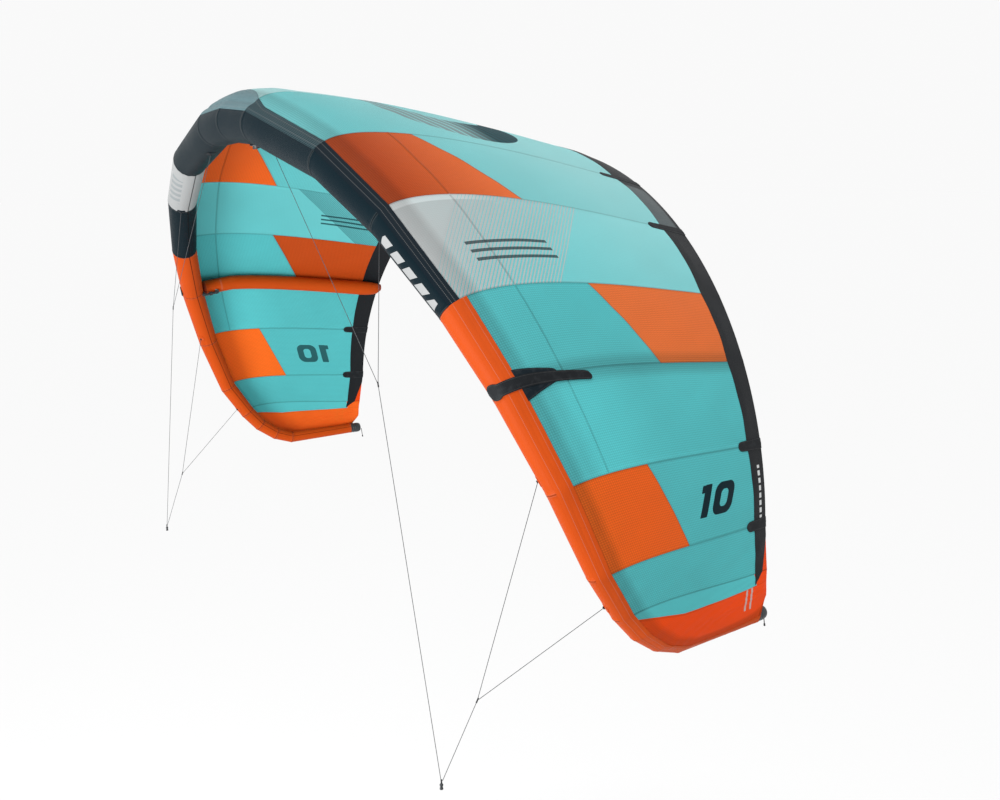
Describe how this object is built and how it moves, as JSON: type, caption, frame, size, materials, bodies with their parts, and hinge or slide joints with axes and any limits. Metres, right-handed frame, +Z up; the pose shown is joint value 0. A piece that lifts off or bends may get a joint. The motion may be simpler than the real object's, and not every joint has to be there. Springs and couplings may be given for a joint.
{
  "type": "kitesurf kite",
  "caption": "C-shaped inflatable power kite: tube leading edge, three struts, panelled cloth canopy and short bridle lines.",
  "frame": {"origin": "middle of the leading-edge tube on the plane of symmetry", "axes": "+X along the span to the kite's right wing, +Y aft from leading edge to trailing edge, +Z up, away from the rider"},
  "size_m": [4.3168, 1.7492, 2.5963],
  "materials": {
    "navy_sleeve_cloth": "woven sleeve cloth, satin",
    "orange_sleeve_cloth": "woven sleeve cloth, satin",
    "teal_ripstop": "ripstop cloth, slightly translucent",
    "pale_ripstop": "ripstop cloth, printed with fine stripes",
    "orange_ripstop": "ripstop cloth",
    "black_band_cloth": "heavy band cloth, matt",
    "bladder_film": "clear film",
    "black_plastic": "moulded, matt",
    "grey_line": "braided line",
    "black_cord": "braided cord"
  },
  "bodies": {
    "wing": {"le_sleeve_centre": "navy_sleeve_cloth", "le_bladder": "bladder_film", "canopy_centre": "teal_ripstop", "strut_sleeve_centre": "orange_sleeve_cloth", "strut_bladder_centre": "bladder_film", "air_hose_centre": "black_plastic", "inflation_valve": "black_plastic", "le_sleeve_shoulder_right": "navy_sleeve_cloth", "le_sleeve_upper_arm_right": "orange_sleeve_cloth", "le_sleeve_mid_arm_right": "orange_sleeve_cloth", "le_sleeve_lower_arm_right": "orange_sleeve_cloth", "le_sleeve_wing_tip_right": "orange_sleeve_cloth", "canopy_crown_right": "teal_ripstop", "canopy_upper_right": "teal_ripstop", "canopy_shoulder_right": "pale_ripstop", "canopy_over_strut_right": "teal_ripstop", "canopy_under_strut_right": "teal_ripstop", "canopy_lower_right": "orange_ripstop", "canopy_foot_right": "teal_ripstop", "canopy_tip_patch_right": "orange_ripstop", "trailing_band_right": "black_band_cloth", "end_cap_right": "black_plastic", "strut_sleeve_right": "orange_sleeve_cloth", "strut_bladder_right": "bladder_film", "air_hose_right": "black_plastic", "bridle_front_leg_1_right": "grey_line", "bridle_front_leg_2_right": "grey_line", "bridle_rear_leg_1_right": "grey_line", "bridle_rear_leg_2_right": "grey_line", "le_sleeve_shoulder_left": "navy_sleeve_cloth", "le_sleeve_upper_arm_left": "orange_sleeve_cloth", "le_sleeve_mid_arm_left": "orange_sleeve_cloth", "le_sleeve_lower_arm_left": "orange_sleeve_cloth", "le_sleeve_wing_tip_left": "orange_sleeve_cloth", "canopy_crown_left": "teal_ripstop", "canopy_upper_left": "teal_ripstop", "canopy_shoulder_left": "pale_ripstop", "canopy_over_strut_left": "teal_ripstop", "canopy_under_strut_left": "teal_ripstop", "canopy_lower_left": "orange_ripstop", "canopy_foot_left": "teal_ripstop", "canopy_tip_patch_left": "orange_ripstop", "trailing_band_left": "black_band_cloth", "end_cap_left": "black_plastic", "strut_sleeve_left": "orange_sleeve_cloth", "strut_bladder_left": "bladder_film", "air_hose_left": "black_plastic", "bridle_front_leg_1_left": "grey_line", "bridle_front_leg_2_left": "grey_line", "bridle_rear_leg_1_left": "grey_line", "bridle_rear_leg_2_left": "grey_line"},
    "valve_cap": {"inflation_valve_cap": "black_plastic"},
    "bridle_leads_right": {"bridle_front_lead_right": "grey_line", "bridle_rear_lead_right": "grey_line", "line_end_sleeve_right": "black_plastic"},
    "pigtail_right": {"rear_pigtail_right": "black_cord"},
    "bridle_leads_left": {"bridle_front_lead_left": "grey_line", "bridle_rear_lead_left": "grey_line", "line_end_sleeve_left": "black_plastic"},
    "pigtail_left": {"rear_pigtail_left": "black_cord"}
  },
  "joints": [
    {"name": "valve_cap_hinge", "type": "hinge", "parent": "wing", "child": "valve_cap", "pos_m": [0.1606, 0.01361, -0.12571], "axis": [-0.9961, -0.0247, 0.085], "range_deg": [0, 110]},
    {"name": "bridle_swing_right", "type": "hinge", "parent": "wing", "child": "bridle_leads_right", "pos_m": [1.385, 0.044, -1.009], "axis": [0.4099, 0.1142, -0.9049], "range_deg": [-25, 25]},
    {"name": "pigtail_swing_right", "type": "hinge", "parent": "wing", "child": "pigtail_right", "pos_m": [2.007, 1.476, -2.003], "axis": [1, 0, 0], "range_deg": [0, 75]},
    {"name": "bridle_swing_left", "type": "hinge", "parent": "wing", "child": "bridle_leads_left", "pos_m": [-1.385, 0.044, -1.009], "axis": [0.4099, -0.1142, 0.9049], "range_deg": [-25, 25]},
    {"name": "pigtail_swing_left", "type": "hinge", "parent": "wing", "child": "pigtail_left", "pos_m": [-2.007, 1.476, -2.003], "axis": [1, 0, 0], "range_deg": [0, 75]}
  ]
}
